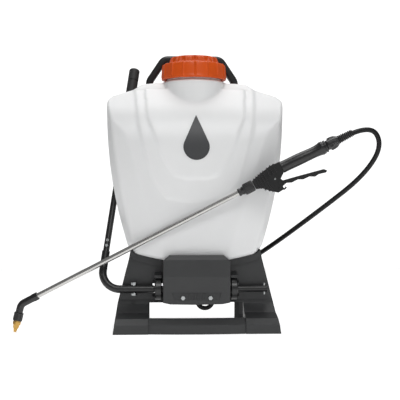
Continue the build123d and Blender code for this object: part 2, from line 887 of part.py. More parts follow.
# ================= shaft, crank and bearings =================
with BuildPart() as pump_shaft:
    with BuildSketch(Plane.YZ.offset(shaft_left)):
        with Locations((shaft_y, shaft_z)):
            Circle(shaft_radius)
    extrude(amount=shaft_right - shaft_left)
    chamfer(pump_shaft.edges().filter_by(GeomType.CIRCLE), length=1)
    with BuildSketch(Plane.XY.offset(shaft_z - 10)):
        with Locations((bolt_x, shaft_y)):
            Circle(bolt_radius + fit)
        with Locations((shaft_right - shaft_pin_inset, shaft_y)):
            Circle(shaft_pin_radius + fit)
    extrude(amount=20, mode=Mode.SUBTRACT)
pump_shaft.part.label = "pump_shaft"
export_step(pump_shaft.part, "parts/pump_shaft.step")

with BuildPart() as shaft_pin:
    with BuildSketch(Plane.XY.offset(shaft_z - 11)):
        with Locations((shaft_right - shaft_pin_inset, shaft_y)):
            Circle(shaft_pin_radius)
    extrude(amount=22)
shaft_pin.part.label = "shaft_pin"
export_step(shaft_pin.part, "parts/shaft_pin.step")

with BuildPart() as crank_arm:
    pin_spot = (shaft_y + crank_throw * cos(radians(crank_swing)), shaft_z + pin_rise)
    for web_start in (-yoke_half - 1 - web_thick, yoke_half + 1):
        with BuildSketch(Plane.YZ.offset(web_start)):
            with Locations((shaft_y, shaft_z)):
                Circle(shaft_radius + 5)
            with Locations(pin_spot):
                Circle(crank_pin_radius + 4)
            with BuildLine():
                Polyline(
                    (shaft_y - 5, shaft_z + 8),
                    (shaft_y + 6, shaft_z - 8),
                    (pin_spot[0] + 5, pin_spot[1] - 6),
                    (pin_spot[0] - 4, pin_spot[1] + 7),
                    close=True,
                )
            make_face()
        extrude(amount=web_thick)
    with BuildSketch(Plane.YZ.offset(-yoke_half - 2)):
        with Locations((shaft_y, shaft_z)):
            Circle(shaft_radius + 4)
        with Locations(pin_spot):
            Circle(crank_pin_radius)
    extrude(amount=2 * yoke_half + 4)
    with BuildSketch(Plane.YZ.offset(-yoke_half - 10)):
        with Locations((shaft_y, shaft_z)):
            Circle(shaft_radius)
    extrude(amount=2 * yoke_half + 20, mode=Mode.SUBTRACT)
crank_arm.part.label = "crank_arm"
export_step(crank_arm.part, "parts/crank_arm.step")

for side, side_name in ((-1, "left"), (1, "right")):
    with BuildPart() as bearing:
        with BuildSketch(Plane.YZ.offset(side * bearing_inner)):
            with Locations((shaft_y, shaft_z)):
                Circle(bearing_radius)
        extrude(amount=side * (bearing_outer - bearing_inner))
        chamfer(bearing.edges().filter_by(GeomType.CIRCLE), length=1.5)
        with BuildSketch(Plane.YZ.offset(side * bearing_inner)):
            with Locations((shaft_y, shaft_z)):
                Circle(shaft_radius + fit)
        extrude(amount=side * (bearing_outer - bearing_inner), mode=Mode.SUBTRACT)
        with BuildSketch(Plane.YZ.offset(side * (bearing_outer - 4))):
            with Locations((shaft_y, shaft_z)):
                Circle(bearing_radius - 3.5)
                Circle(shaft_radius + 4, mode=Mode.SUBTRACT)
        extrude(amount=side * 5, mode=Mode.SUBTRACT)
    bearing.part.label = side_name + "_bearing"
    export_step(bearing.part, "parts/" + side_name + "_bearing.step")

# ================= pump cover =================
with BuildPart() as pump_cover:
    with BuildSketch(Plane.XZ.offset(-base_front + ledge_out + 0.3)):
        with BuildLine():
            for side in (1, -1):
                Polyline(
                    (0, cover_bottom - 2),
                    (side * (cover_half - 14), cover_bottom - 1),
                    (side * cover_half, cover_bottom + 2),
                    (side * cover_half, 136),
                    (side * (cover_half - 12), 146.5),
                    (0, 146.5),
                )
        make_face()
    extrude(amount=-cover_front + 2)
    with BuildSketch(Plane.YZ.offset(-cover_half - 1)):
        with BuildLine():
            Polyline(
                (cover_front + 5, cover_bottom - 3),
                (cover_front, cover_fold),
                (cover_front, 138),
                (cover_front + 6, 148),
                (tank_front - 1, 148),
                (tank_front - 1, tank_sole - 2),
                (base_front, tank_sole - 6),
                (base_front, cover_bottom - 3),
                close=True,
            )
        make_face()
    extrude(amount=2 * cover_half + 2, mode=Mode.INTERSECT)
    front_edges = pump_cover.edges().filter_by(lambda e: e.center().Y < cover_front + 4)
    fillet(front_edges, radius=2)
    offset(amount=-cover_wall, openings=pump_cover.faces().sort_by(Axis.Y)[-1])
    with BuildSketch(Plane.YZ.offset(-cover_half - 1)):
        with Locations((shaft_y, shaft_z)):
            Circle(shaft_radius + 1)
        with Locations(((shaft_y + base_front) / 2, shaft_z)):
            Rectangle(base_front - shaft_y, 2 * shaft_radius + 2)
    extrude(amount=2 * cover_half + 2, mode=Mode.SUBTRACT)
    # recess for the bolts, with a comb of small ribs along it
    with BuildSketch(Plane.XZ.offset(-recess_y)):
        with BuildLine():
            Polyline(
                (-cover_half + 17, cover_bottom + 21),
                (cover_half - 17, cover_bottom + 21),
                (cover_half - 21, cover_bottom + 7),
                (-cover_half + 21, cover_bottom + 7),
                close=True,
            )
        make_face()
    extrude(amount=10, mode=Mode.SUBTRACT)
    with BuildSketch(Plane.XZ.offset(-recess_y - 0.3)):
        with GridLocations(5, 1, 7, 1):
            with Locations((0, cover_bottom + 14)):
                Rectangle(1.4, 13)
    extrude(amount=1.3)
    with BuildSketch(Plane.XY.offset(cover_bottom - 5)):
        with Locations((loop_x, loop_y), (loop_x + 2 * loop_bend, loop_y)):
            Circle(loop_radius + loop_play)
    extrude(amount=14, mode=Mode.SUBTRACT)
pump_cover.part.label = "pump_cover"
export_step(pump_cover.part, "parts/pump_cover.step")

with BuildPart() as cover_bolts:
    for x in (-cover_bolt_x, cover_bolt_x):
        with BuildSketch(Plane.XZ.offset(-recess_y + 0.1)):
            with Locations((x, cover_bottom + 11)):
                RegularPolygon(4.2, 6)
        extrude(amount=3.4)
cover_bolts.part.label = "cover_bolts"
export_step(cover_bolts.part, "parts/cover_bolts.step")

# short loop of hose under the cover
with BuildPart() as cover_loop:
    with BuildLine():
        loop_left = Line((loop_x, loop_y, cover_bottom + 8), (loop_x, loop_y, loop_z + loop_bend))
        loop_turn = ThreePointArc(
            loop_left @ 1,
            (loop_x + loop_bend, loop_y, loop_z),
            (loop_x + 2 * loop_bend, loop_y, loop_z + loop_bend),
        )
        Line(loop_turn @ 1, (loop_x + 2 * loop_bend, loop_y, cover_bottom + 8))
    with BuildSketch(Plane(origin=loop_left @ 0, z_dir=loop_left % 0)):
        Circle(loop_radius)
    sweep()
cover_loop.part.label = "cover_loop"
export_step(cover_loop.part, "parts/cover_loop.step")

with BuildPart() as base_screws:
    for x, y in boss_spots:
        deck_z = tank_sole - base_wall + sole_rise * (x / sole_half) ** 2
        with BuildSketch(Plane.XY.offset(deck_z - 4.2)):
            with Locations((x, y)):
                Circle(5)
        extrude(amount=2.6)
        with BuildSketch(Plane.XY.offset(deck_z - 1)):
            with Locations((x, y)):
                Circle(screw_radius - fit)
        extrude(amount=18)
base_screws.part.label = "base_screws"
export_step(base_screws.part, "parts/base_screws.step")

# ================= lever =================
with BuildPart() as lever_elbow:
    with BuildLine():
        bar_path = FilletPolyline(
            (lever_bar_end, shaft_y, shaft_z),
            (lever_corner, shaft_y, shaft_z),
            on_lever(sleeve_z),
            radius=lever_bend,
        )
    with BuildSketch(Plane(origin=bar_path @ 0, z_dir=bar_path % 0)):
        Circle(lever_bar_radius)
    sweep()
    with BuildSketch(lever_section(sleeve_z - 6)):
        Circle(lever_tube_bore - fit)
    extrude(amount=(swage_z - sleeve_z + 6) / lever_along.Z)
    with BuildSketch(Plane.YZ.offset(shaft_left - 1)):
        with Locations((shaft_y, shaft_z)):
            Circle(shaft_radius + fit)
    extrude(amount=lever_bar_end - shaft_left + 2, mode=Mode.SUBTRACT)
    with BuildSketch(Plane.XY.offset(shaft_z - 10)):
        with Locations((bolt_x, shaft_y)):
            Circle(bolt_radius + fit)
    extrude(amount=20, mode=Mode.SUBTRACT)
lever_elbow.part.label = "lever_elbow"
export_step(lever_elbow.part, "parts/lever_elbow.step")

with BuildPart() as lever_tube:
    with BuildSketch(lever_section(sleeve_z)):
        Circle(lever_tube_radius)
        Circle(lever_tube_bore, mode=Mode.SUBTRACT)
    extrude(amount=(lever_top_z - sleeve_z) / lever_along.Z)
lever_tube.part.label = "lever_tube"
export_step(lever_tube.part, "parts/lever_tube.step")

with BuildPart() as lever_grip:
    grip_length = (grip_top_z - grip_low_z) / lever_along.Z
    with BuildSketch(lever_section(grip_low_z)):
        Circle(grip_radius)
    extrude(amount=grip_length)
    fillet(lever_grip.edges().filter_by(GeomType.CIRCLE).sort_by(Axis.Z)[-1], radius=4)
    fillet(lever_grip.edges().filter_by(GeomType.CIRCLE).sort_by(Axis.Z)[0], radius=2)
    for groove in (6, grip_length - 28):
        with BuildSketch(Plane(origin=on_lever(grip_low_z) + lever_along * groove, z_dir=lever_along)):
            Circle(grip_radius + 1)
            Circle(grip_radius - 1.2, mode=Mode.SUBTRACT)
        extrude(amount=2.5, mode=Mode.SUBTRACT)
    with BuildSketch(lever_section(grip_low_z)):
        Circle(lever_tube_radius + 0.02)
    extrude(amount=(lever_top_z - grip_low_z) / lever_along.Z + 0.2, mode=Mode.SUBTRACT)
lever_grip.part.label = "lever_grip"
export_step(lever_grip.part, "parts/lever_grip.step")

with BuildPart() as lever_bolt:
    with BuildSketch(Plane.XY.offset(shaft_z - lever_bar_radius - 4.4)):
        with Locations((bolt_x, shaft_y)):
            RegularPolygon(bolt_hex, 6)
    extrude(amount=4)
    with BuildSketch(Plane.XY.offset(shaft_z - lever_bar_radius - 1)):
        with Locations((bolt_x, shaft_y)):
            Circle(bolt_radius)
    extrude(amount=2 * lever_bar_radius + 6.5)
lever_bolt.part.label = "lever_bolt"
export_step(lever_bolt.part, "parts/lever_bolt.step")

with BuildPart() as lever_nut:
    with BuildSketch(Plane.XY.offset(shaft_z + lever_bar_radius + 0.2)):
        with Locations((bolt_x, shaft_y)):
            RegularPolygon(bolt_hex, 6)
            Circle(3 + fit, mode=Mode.SUBTRACT)
    extrude(amount=5)
lever_nut.part.label = "lever_nut"
export_step(lever_nut.part, "parts/lever_nut.step")

with BuildPart() as lever_rivets:
    for rivet_z in (sleeve_z + 12, sleeve_z + 22):
        rivet_plane = Plane(origin=on_lever(rivet_z), z_dir=lance_out)
        with BuildSketch(rivet_plane.offset(-lever_tube_radius - 1)):
            Circle(rivet_radius)
        extrude(amount=2 * lever_tube_radius + 2)
        for end in (lever_tube_radius - 0.2, -lever_tube_radius + 0.2):
            with BuildSketch(rivet_plane.offset(end)):
                Circle(rivet_head)
            extrude(amount=1.6 if end > 0 else -1.6)
lever_rivets.part.label = "lever_rivets"
export_step(lever_rivets.part, "parts/lever_rivets.step")

# ================= lance: wand and nozzle =================
with BuildPart() as wand_tube:
    with BuildSketch(lance_section(-3)):
        Circle(wand_radius)
        Circle(wand_radius - 1, mode=Mode.SUBTRACT)
    extrude(amount=wand_length + 3)
wand_tube.part.label = "wand_tube"
export_step(wand_tube.part, "parts/wand_tube.step")

nozzle_heading = 180 + nozzle_turn
nozzle_way = lance_plane.from_local_coords(
    Vector(cos(radians(nozzle_heading)), sin(radians(nozzle_heading)), 0)
) - lance_start
nozzle_knee = on_lance(-nozzle_reach, 0)
nozzle_drop = (nozzle_knee.Z - floor_clearance) / -nozzle_way.Z


def nozzle_section(along):
    """Plane across the nozzle, at a distance from the knee of its elbow."""
    return Plane(origin=nozzle_knee + nozzle_way * along, x_dir=lance_out, z_dir=nozzle_way)


with BuildPart() as nozzle_elbow:
    with BuildLine():
        elbow_path = FilletPolyline(on_lance(2, 0), nozzle_knee, nozzle_knee + nozzle_way * 16, radius=16)
    with BuildSketch(lance_section(2)):
        Circle(7)
    sweep()
    with BuildSketch(lance_section(-7)):
        RegularPolygon(8.6, 6)
    extrude(amount=9)
    with BuildSketch(lance_section(-3.2)):
        Circle(wand_radius + 0.02)
    extrude(amount=6, mode=Mode.SUBTRACT)
nozzle_elbow.part.label = "nozzle_elbow"
export_step(nozzle_elbow.part, "parts/nozzle_elbow.step")

with BuildPart() as nozzle_nut:
    with BuildSketch(nozzle_section(16.4)):
        Circle(9)
    extrude(amount=15)
    with BuildSketch(nozzle_section(18.4)):
        with PolarLocations(9, 10):
            Circle(1)
    extrude(amount=13, mode=Mode.SUBTRACT)
    with BuildSketch(nozzle_section(16)):
        Circle(6.2)
    extrude(amount=16, mode=Mode.SUBTRACT)
nozzle_nut.part.label = "nozzle_nut"
export_step(nozzle_nut.part, "parts/nozzle_nut.step")

with BuildPart() as spray_nozzle:
    for start, end, wide, narrow in (
        (16.6, 33, 6, 6),
        (33, 39, 7.6, 7.6),
        (39, 46, 6.2, 5.4),
        (46, nozzle_drop, 4.4, 2.6),
    ):
        with BuildSketch(nozzle_section(start)):
            Circle(wide)
        with BuildSketch(nozzle_section(end)):
            Circle(narrow)
        loft()
    with BuildSketch(nozzle_section(nozzle_drop - 8)):
        Circle(0.8)
    extrude(amount=9, mode=Mode.SUBTRACT)
spray_nozzle.part.label = "spray_nozzle"
export_step(spray_nozzle.part, "parts/spray_nozzle.step")

with BuildPart() as wand_nut:
    for start, end, wide, narrow in ((430, 442, 7.2, 8), (442, 462, 10.5, 10.5)):
        with BuildSketch(lance_section(start)):
            Circle(wide)
        with BuildSketch(lance_section(end)):
            Circle(narrow)
        loft()
    with BuildSketch(lance_section(443)):
        with PolarLocations(10.9, 14):
            Circle(1.1)
    extrude(amount=18, mode=Mode.SUBTRACT)
    with BuildSketch(lance_section(428)):
        Circle(wand_radius + fit)
    extrude(amount=40, mode=Mode.SUBTRACT)
wand_nut.part.label = "wand_nut"
export_step(wand_nut.part, "parts/wand_nut.step")

# ================= lance: shut-off handle =================
with BuildPart() as valve_body:
    with BuildSketch(lance_plane.offset(-valve_half)):
        with BuildLine():
            Polyline(*valve_outline, close=True)
        make_face()
    extrude(amount=2 * valve_half)
    fillet(valve_body.edges().filter_by(lambda e: abs((e % 0.5).dot(lance_out)) > 0.99), radius=1.5)
    # ladder of shallow slots down both cheeks
    for step in range(5):
        for cheek in (-valve_half, valve_half - 2):
            with BuildSketch(lance_plane.offset(cheek)):
                with Locations((474 + 7 * step, 2 + 1.4 * step)):
                    Rectangle(3.6, 8 + step)
            extrude(amount=2, mode=Mode.SUBTRACT)
    # bore of the sliding stem, and the fork that takes the trigger
    with BuildSketch(Plane(origin=on_lance(stem_start - 2, stem_up), z_dir=lance_along)):
        Circle(stem_radius + fit)
    extrude(amount=60, mode=Mode.SUBTRACT)
    with BuildSketch(lance_plane.offset(-trigger_half - gap)):
        with BuildLine():
            Polyline(
                (pivot_along - 7, pivot_up + 6.5),
                (pivot_along + 30, pivot_up + 6.5),
                (pivot_along + 30, -50),
                (pivot_along - 7, -50),
                close=True,
            )
        make_face()
    extrude(amount=2 * (trigger_half + gap), mode=Mode.SUBTRACT)
    with BuildSketch(lance_plane.offset(-valve_half)):
        with Locations((pivot_along, pivot_up)):
            Circle(pin_radius + fit)
        with Locations((lock_along, lock_up)):
            Circle(lock_pin_radius + fit)
    extrude(amount=2 * valve_half, mode=Mode.SUBTRACT)
valve_body.part.label = "valve_body"
export_step(valve_body.part, "parts/valve_body.step")

with BuildPart() as handle_grip:
    for along, up, radius in handle_rings:
        with BuildSketch(lance_section(along, up)):
            Ellipse(radius, radius * 1.06)
    loft()
    with BuildSketch(lance_section(handle_end, handle_rise)):
        Circle(12.5)
    extrude(amount=4)
    with BuildSketch(lance_section(handle_end + 4, handle_rise)):
        Circle(10.5)
    extrude(amount=2)
    with BuildSketch(lance_section(handle_end + 6, handle_rise)):
        Circle(12)
    extrude(amount=3)
handle_grip.part.label = "handle_grip"
export_step(handle_grip.part, "parts/handle_grip.step")

with BuildPart() as hose_nut:
    nut_start = handle_end + 9.4
    with BuildSketch(lance_section(nut_start, handle_rise)):
        Circle(9.5)
    extrude(amount=26)
    with BuildSketch(lance_section(nut_start + 6, handle_rise)):
        Circle(9.5)
        with PolarLocations(9.5, 6):
            Rectangle(6, 4)
    extrude(amount=14)
    with BuildSketch(lance_section(nut_start + 12, handle_rise)):
        Circle(hose_radius + 1.4)
    extrude(amount=30, mode=Mode.SUBTRACT)
hose_nut.part.label = "hose_nut"
export_step(hose_nut.part, "parts/hose_nut.step")

with BuildPart() as strain_relief:
    relief_start = nut_start + 26.3
    with BuildSketch(lance_section(relief_start, handle_rise)):
        Circle(8)
    with BuildSketch(lance_section(relief_start + relief_length, handle_rise)):
        Circle(6.4)
    loft()
    for rib in range(4):
        with BuildSketch(lance_section(relief_start + 4 + 6 * rib, handle_rise)):
            Circle(10)
            Circle(6.8 - 0.3 * rib, mode=Mode.SUBTRACT)
        extrude(amount=2.6, mode=Mode.SUBTRACT)
    with BuildSketch(lance_section(relief_start - 1, handle_rise)):
        Circle(hose_radius + 0.1)
    extrude(amount=relief_length + 2, mode=Mode.SUBTRACT)
strain_relief.part.label = "strain_relief"
export_step(strain_relief.part, "parts/strain_relief.step")

with BuildPart() as trigger:
    with BuildSketch(lance_plane.offset(-trigger_half)):
        with BuildLine():
            Polyline(*trigger_outline, close=True)
        make_face()
    extrude(amount=2 * trigger_half)
    fillet(trigger.edges().filter_by(lambda e: abs((e % 0.5).dot(lance_out)) > 0.99), radius=1)
    with BuildSketch(lance_plane.offset(-trigger_half)):
        with Locations((pivot_along, pivot_up)):
            Circle(pin_radius + fit)
    extrude(amount=2 * trigger_half, mode=Mode.SUBTRACT)
    # the fork straddles the stem, and the stem's head sits behind it
    with BuildSketch(lance_plane.offset(-stem_radius - 0.8)):
        with Locations((pivot_along - 3, stem_up - 3)):
            Rectangle(18, 18)
    extrude(amount=2 * stem_radius + 1.6, mode=Mode.SUBTRACT)
    with BuildSketch(lance_plane.offset(-stem_radius - 2.2)):
        with Locations((stem_head + 2.8, stem_up)):
            Rectangle(6.8, 11)
    extrude(amount=2 * stem_radius + 4.4, mode=Mode.SUBTRACT)
trigger.part.label = "trigger"
export_step(trigger.part, "parts/trigger.step")

with BuildPart() as trigger_pin:
    with BuildSketch(lance_plane.offset(-valve_half - 0.6)):
        with Locations((pivot_along, pivot_up)):
            Circle(pin_radius)
    extrude(amount=2 * valve_half + 1.2)
trigger_pin.part.label = "trigger_pin"
export_step(trigger_pin.part, "parts/trigger_pin.step")

with BuildPart() as valve_stem:
    with BuildSketch(Plane(origin=on_lance(stem_start, stem_up), z_dir=lance_along)):
        Circle(stem_radius)
    extrude(amount=stem_head - stem_start)
    with BuildSketch(Plane(origin=on_lance(stem_head, stem_up), z_dir=lance_along)):
        Circle(stem_radius + 1.4)
    extrude(amount=2.5)
valve_stem.part.label = "valve_stem"
export_step(valve_stem.part, "parts/valve_stem.step")

with BuildPart() as trigger_lock:
    with BuildSketch(lance_plane.offset(-lock_half)):
        with Locations((lock_along, lock_up)):
            Circle(2.7)
        with BuildLine():
            Polyline(
                (lock_along - 2, lock_up - 1.5),
                (lock_along + 2, lock_up + 1.5),
                (lock_along + 9, lock_up - 2.5),
                (lock_along + 11.5, lock_up - 0.5),
                (lock_along + 12.5, lock_up - 4),
                (lock_along + 7, lock_up - 5.5),
                close=True,
            )
        make_face()
    extrude(amount=2 * lock_half)
    with BuildSketch(lance_plane.offset(-valve_half - 0.4)):
        with Locations((lock_along, lock_up)):
            Circle(lock_pin_radius)
    extrude(amount=2 * valve_half + 0.8)
trigger_lock.part.label = "trigger_lock"
export_step(trigger_lock.part, "parts/trigger_lock.step")

# ================= hose =================
hose_start = on_lance(relief_start + 8, handle_rise)
hose_points = [hose_start] + [Vector(*point) for point in hose_route] + [Vector(gland_x, 0, hose_end_z)]
hose_bends = []
for before, corner, after in zip(hose_points, hose_points[1:], hose_points[2:]):
    turn = (corner - before).get_angle(after - corner)
    run = min((corner - before).length, (after - corner).length)
    hose_bends.append(0.45 * run / tan(radians(turn / 2)))
print("hose bend radii", [round(bend) for bend in hose_bends])

with BuildPart() as hose:
    with BuildLine() as hose_line:
        FilletPolyline(*hose_points, radius=hose_bends)
    hose_length = hose_line.wire().length
    with BuildSketch(Plane(origin=hose_start, z_dir=hose_points[1] - hose_start)):
        Circle(hose_radius)
    sweep()
print("hose length", round(hose_length))
hose.part.label = "hose"
export_step(hose.part, "parts/hose.step")
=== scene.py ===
import json
import math

import bmesh
import bpy
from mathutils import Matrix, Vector


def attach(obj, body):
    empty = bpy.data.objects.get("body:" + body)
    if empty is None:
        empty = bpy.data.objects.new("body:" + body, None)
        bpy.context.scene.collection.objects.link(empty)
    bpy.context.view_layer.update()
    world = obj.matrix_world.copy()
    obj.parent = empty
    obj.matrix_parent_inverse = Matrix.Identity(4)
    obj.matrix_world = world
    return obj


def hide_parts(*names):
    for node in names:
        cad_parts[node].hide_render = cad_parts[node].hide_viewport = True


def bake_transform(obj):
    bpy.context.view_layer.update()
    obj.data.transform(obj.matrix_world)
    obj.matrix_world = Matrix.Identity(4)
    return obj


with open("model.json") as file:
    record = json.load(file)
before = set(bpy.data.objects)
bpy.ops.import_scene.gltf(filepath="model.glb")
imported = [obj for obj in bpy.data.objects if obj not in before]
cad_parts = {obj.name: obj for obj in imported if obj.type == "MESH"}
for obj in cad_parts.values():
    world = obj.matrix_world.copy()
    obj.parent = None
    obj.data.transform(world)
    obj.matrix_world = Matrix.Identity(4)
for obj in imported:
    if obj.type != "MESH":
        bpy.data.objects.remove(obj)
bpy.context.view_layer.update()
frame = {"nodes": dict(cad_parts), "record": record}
nodes = frame["nodes"]
scene = bpy.context.scene
print("frame loaded,", len(nodes), "nodes")


# sRGB hex to the linear colour that the shaders take
def linear(code, alpha=1.0):
    out = []
    for i in (0, 2, 4):
        c = int(code[i:i + 2], 16) / 255
        out.append(c / 12.92 if c <= 0.04045 else ((c + 0.055) / 1.055) ** 2.4)
    return (*out, alpha)


# one node with its settings and links; a link is input=(node, output) and a value is input=value
def addNode(tree, kind, links=None, **settings):
    made = tree.nodes.new(kind)
    for key, value in settings.items():
        setattr(made, key, value)
    for key, value in (links or {}).items():
        if isinstance(value, tuple) and isinstance(value[0], bpy.types.Node):
            tree.links.new(value[0].outputs[value[1]], made.inputs[key])
        else:
            made.inputs[key].default_value = value
    return made


# camera first: it stands two metres off, a little to the left, at mid height of the tank
cameraSetup = {
    "place": (-0.0993, -1.9976, 0.251),
    "turn": (90, 0, -3.2),
    "lens": 90,
}
cameraData = bpy.data.cameras.new("camera")
cameraData.lens = cameraSetup["lens"]
cameraData.sensor_width = 36
camera = bpy.data.objects.new("camera", cameraData)
camera.location = cameraSetup["place"]
camera.rotation_euler = [math.radians(a) for a in cameraSetup["turn"]]
scene.collection.objects.link(camera)
scene.camera = camera

# the lance's own axes, shared by everything on it
lanceStart = Vector((-0.3028, -0.0845, 0.0683))
lanceAlong = Vector((384.3, -35, 197.8)).normalized()
lanceOut = lanceAlong.cross(Vector((0, 0, 1))).normalized()
lanceUp = lanceOut.cross(lanceAlong)


def onLance(along, up, out=0):
    return lanceStart + (lanceAlong * along + lanceUp * up + lanceOut * out) / 1000


# hose: PVC garden hose, 9.5 mm, from the gland under the tank to the back of the grip
hoseSetup = {
    "diameter": 0.0095,
    "gland": (-0.038, 0, 0.058),
    "route": [
        (-0.092, 0, 0.058), (-0.092, 0.060, 0.056), (0.024, 0.060, 0.060), (0.084, 0.113, 0.092),
        (0.132, 0.098, 0.131), (0.172, 0.032, 0.166), (0.246, -0.052, 0.232),
        (0.318, -0.110, 0.296), (0.34964, -0.138, 0.354), (0.324, -0.1417, 0.3943),
    ],
}
hosePoints = [Vector(p) for p in (hoseSetup["gland"], *hoseSetup["route"])] + [onLance(651.7, 3)]


def nurbsLine(name, points):
    curve = bpy.data.curves.new(name, "CURVE")
    curve.dimensions = "3D"
    spline = curve.splines.new("NURBS")
    spline.points.add(len(points) - 1)
    for i, p in enumerate(points):
        spline.points[i].co = (*p, 1)
    spline.order_u = 3
    spline.use_endpoint_u = True
    curve.resolution_u = 12
    return curve


def lineLength(points):
    return sum((b - a).length for a, b in zip(points, points[1:]))


# the smooth line of a curve, read back as points
def pointsOf(curve):
    probe = bpy.data.objects.new("probe", curve)
    scene.collection.objects.link(probe)
    bpy.context.view_layer.update()
    mesh = bpy.data.meshes.new_from_object(probe)
    out = [v.co.copy() for v in mesh.vertices]
    bpy.data.objects.remove(probe)
    bpy.data.meshes.remove(mesh)
    return out


def addObject(name, data):
    made = bpy.data.objects.new(name, data)
    scene.collection.objects.link(made)
    return made


# round tube along points, its rings kept square to the line
def tubeMesh(name, points, radius, sides=20):
    mesh = bpy.data.meshes.new(name)
    bm = bmesh.new()
    rings = []
    across = None
    for i, p in enumerate(points):
        ahead = (points[min(i + 1, len(points) - 1)] - points[max(i - 1, 0)]).normalized()
        if across is None:
            across = ahead.orthogonal().normalized()
        across = (across - ahead * across.dot(ahead)).normalized()
        other = ahead.cross(across)
        r = radius(i) if callable(radius) else radius
        rings.append([
            bm.verts.new(p + (across * math.cos(t) + other * math.sin(t)) * r)
            for t in (2 * math.pi * k / sides for k in range(sides))
        ])
    for a, b in zip(rings, rings[1:]):
        for k in range(sides):
            bm.faces.new((a[k], a[(k + 1) % sides], b[(k + 1) % sides], b[k]))
    bm.faces.new(list(reversed(rings[0])))
    bm.faces.new(rings[-1])
    for face in bm.faces:
        face.smooth = len(face.verts) == 4
    bm.to_mesh(mesh)
    bm.free()
    return mesh


hosePath = pointsOf(nurbsLine("hoseLine", hosePoints))
hose = addObject("hoseTube", tubeMesh("hoseTube", hosePath, hoseSetup["diameter"] / 2))
print("hose laid,", round(lineLength(hosePath), 3), "m")


# materials, named for what the real ones are
# every one reads object coordinates in metres, so a pattern's scale is 1 / its real size
def newMaterial(name, look):
    made = bpy.data.materials.new(name)
    made.use_nodes = True
    tree = made.node_tree
    shader = tree.nodes["Principled BSDF"]
    shader.inputs["Base Color"].default_value = linear(look["colour"])
    shader.inputs["Roughness"].default_value = look["rough"]
    shader.inputs["Metallic"].default_value = look.get("metal", 0)
    if "ior" in look:
        shader.inputs["IOR"].default_value = look["ior"]
    for key, value in look.get("sockets", {}).items():
        shader.inputs[key].default_value = value
    place = addNode(tree, "ShaderNodeTexCoord")
    source = (place, "Object")
    if "drawn" in look:  # the pattern is stretched along this axis, as drawing or brushing leaves it
        axis = Vector(look["drawn"]).normalized()
        side = axis.orthogonal().normalized()
        parts = []
        for way, size in ((side, 1), (axis.cross(side), 1), (axis, look.get("stretch", 0.02))):
            parts.append(addNode(
                tree, "ShaderNodeVectorMath", {0: source, 1: way * size}, operation="DOT_PRODUCT"))
        joined = addNode(
            tree, "ShaderNodeCombineXYZ", {i: (p, "Value") for i, p in enumerate(parts)})
        source = (joined, "Vector")
    # fine grain drives bump and roughness, a broad cloud drives the colour
    grain = addNode(tree, "ShaderNodeTexNoise", {
        "Vector": source, "Scale": 1000 / look["grain"], "Detail": 3, "Roughness": 0.6})
    cloud = addNode(tree, "ShaderNodeTexNoise", {
        "Vector": (place, "Object"), "Scale": 1000 / look.get("cloud", 60),
        "Detail": 4, "Roughness": 0.55})
    tint = addNode(tree, "ShaderNodeMix", {
        "Factor": (cloud, "Fac"), "A": linear(look["colour"]), "B": linear(look["aged"]),
    }, data_type="RGBA")
    tree.links.new(tint.outputs["Result"], shader.inputs["Base Color"])
    sheen = addNode(tree, "ShaderNodeMapRange", {
        "Value": (grain, "Fac"), "From Min": 0.3, "From Max": 0.7,
        "To Min": look["rough"] - look.get("roughSpread", 0.05),
        "To Max": look["rough"] + look.get("roughSpread", 0.05)})
    tree.links.new(sheen.outputs["Result"], shader.inputs["Roughness"])
    edge = addNode(tree, "ShaderNodeBevel", {"Radius": look.get("edge", 0.6) / 1000}, samples=4)
    bump = addNode(tree, "ShaderNodeBump", {
        "Strength": look.get("bump", 0.2), "Distance": look.get("bumpDepth", 0.05) / 1000,
        "Height": (grain, "Fac"), "Normal": (edge, "Normal")})
    tree.links.new(bump.outputs["Normal"], shader.inputs["Normal"])
    return made, tree, shader, bump, source


# cloth: warp and weft as two crossed bands, thread pitch in millimetres
def addWeave(tree, shader, bump, source, pitch, depth, axes=("X", "Z")):
    bands = []
    for axis in axes:
        bands.append(addNode(tree, "ShaderNodeTexWave", {
            "Vector": source, "Scale": 1000 / pitch / 20, "Distortion": 0.6,
            "Detail": 1, "Detail Scale": 4}, bands_direction=axis))
    both = addNode(
        tree, "ShaderNodeMath", {0: (bands[0], "Fac"), 1: (bands[1], "Fac")}, operation="MULTIPLY")
    tree.links.new(both.outputs[0], bump.inputs["Height"])
    bump.inputs["Distance"].default_value = depth / 1000
    bump.inputs["Strength"].default_value = 0.7


# blow-moulded polyethylene: milky, lets light into its wall, satin with a faint orange peel
tankPolyethylene = newMaterial("blowMouldedPolyethylene", {
    "colour": "EDEEEE", "aged": "E4E5E5", "rough": 0.36, "ior": 1.51, "grain": 3.5, "cloud": 120,
    "bump": 0.25, "bumpDepth": 0.12, "edge": 1.2,
    "sockets": {
        "Subsurface Weight": 0.25, "Subsurface Scale": 0.02, "Subsurface Radius": (1.0, 1.0, 0.95)},
})[0]
# orange polypropylene: injection moulded, silky, grain of the spark-eroded mould
capPolypropylene = newMaterial("mouldedOrangePolypropylene", {
    "colour": "DC560C", "aged": "C84A07", "rough": 0.4, "ior": 1.49, "grain": 0.7, "cloud": 30,
    "bump": 0.3, "bumpDepth": 0.05, "edge": 0.8, "sockets": {"Specular IOR Level": 0.35},
})[0]
# grey polypropylene: leather-fine mould texture that hides scuffs, dull
basePolypropylene = newMaterial("texturedGreyPolypropylene", {
    "colour": "303132", "aged": "28292A", "rough": 0.46, "ior": 1.49, "grain": 1.1, "cloud": 45,
    "bump": 0.45, "bumpDepth": 0.12, "edge": 1.0,
})[0]
